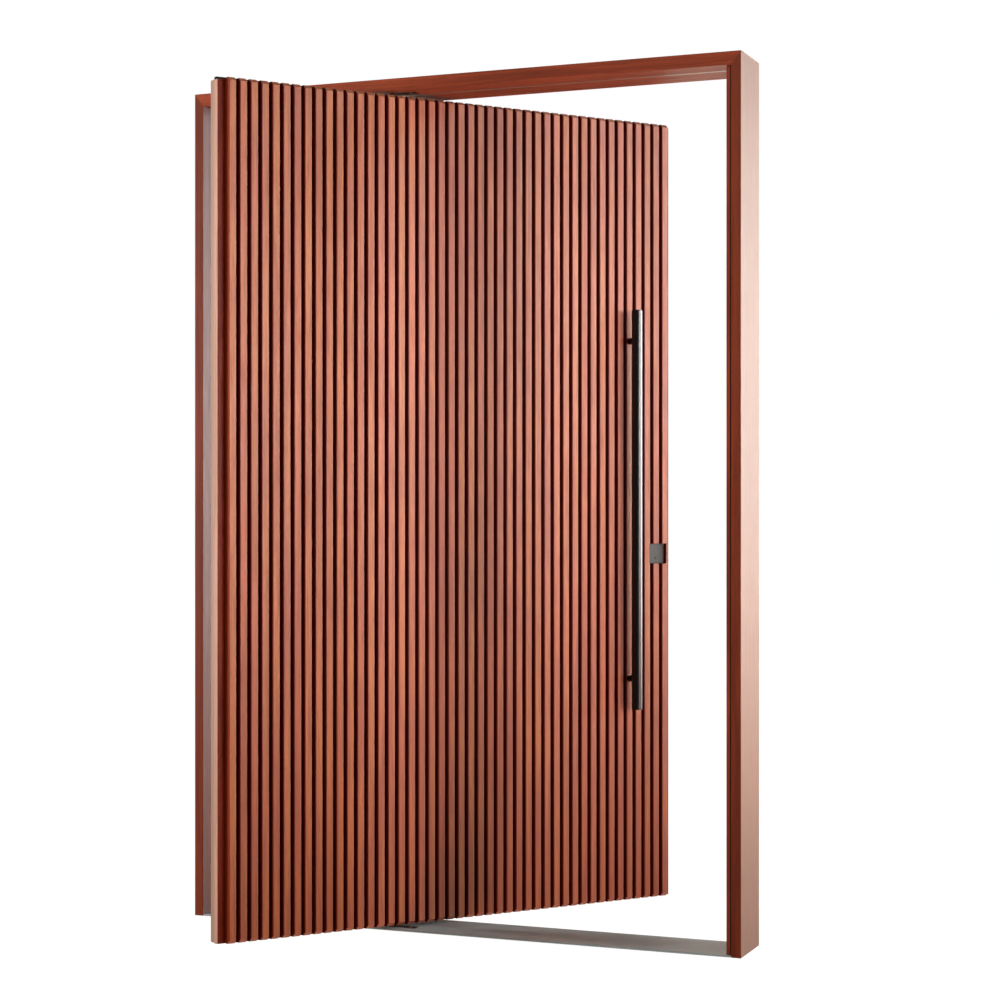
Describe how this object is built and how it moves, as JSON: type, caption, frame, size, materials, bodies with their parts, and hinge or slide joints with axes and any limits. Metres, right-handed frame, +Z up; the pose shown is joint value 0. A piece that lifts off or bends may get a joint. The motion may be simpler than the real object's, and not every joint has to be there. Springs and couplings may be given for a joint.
{
  "type": "pivot entry door",
  "caption": "Wide entry door with a vertically slatted hardwood leaf that swings on an offset floor-and-head pivot in a hardwood frame, with long pull bars.",
  "frame": {"origin": "middle of the frame's width on the underside of the threshold, in the plane of the closed leaf", "axes": "+X along the frame towards the lock jamb, +Y to the inside, where the lock side of the leaf swings, +Z up"},
  "size_m": [1.628, 1.3013, 2.407],
  "materials": {
    "frame_wood": "satin, dark red-brown",
    "core_wood": "satin, light red-brown",
    "slat_wood": "oiled, warm red-brown",
    "aluminium": "satin",
    "steel": "satin",
    "black_metal": "satin black",
    "seal": "matt"
  },
  "bodies": {
    "frame": {"pivot_jamb": "frame_wood", "lock_jamb": "frame_wood", "frame_head": "frame_wood", "lock_stop": "frame_wood", "lock_stop_seal": "seal", "pivot_stop": "frame_wood", "pivot_stop_seal": "seal", "head_track": "aluminium", "threshold": "aluminium", "floor_pivot": "steel", "head_pivot": "steel", "strike_plate": "steel"},
    "leaf": {"pivot_stile": "core_wood", "lock_stile": "core_wood", "bottom_rail": "core_wood", "top_rail": "core_wood", "leaf_core": "core_wood", "lock_faceplate": "steel", "dead_bolt": "steel", "latch_bolt": "steel", "bottom_pivot_shoe": "steel", "top_pivot_shoe": "steel", "top_seal_pivot": "seal", "top_seal_lock": "seal", "bottom_seal_pivot": "seal", "bottom_seal_lock": "seal", "outside_board_1": "slat_wood", "outside_board_2": "slat_wood", "outside_board_3": "slat_wood", "outside_board_4": "slat_wood", "outside_board_5": "slat_wood", "inside_board_1": "slat_wood", "inside_board_2": "slat_wood", "inside_board_3": "slat_wood", "inside_board_4": "slat_wood", "inside_board_5": "slat_wood", "outside_lock_plate": "steel", "inside_lock_plate": "steel", "outside_pull_bar": "black_metal", "outside_pull_lower_post": "black_metal", "outside_pull_upper_post": "black_metal", "inside_pull_bar": "black_metal", "inside_pull_lower_post": "black_metal", "inside_pull_upper_post": "black_metal"}
  },
  "joints": [
    {"name": "leaf_pivot", "type": "hinge", "parent": "frame", "child": "leaf", "pos_m": [-0.206, 0, 0], "axis": [0, 0, 1], "range_deg": [-55, 35]}
  ]
}
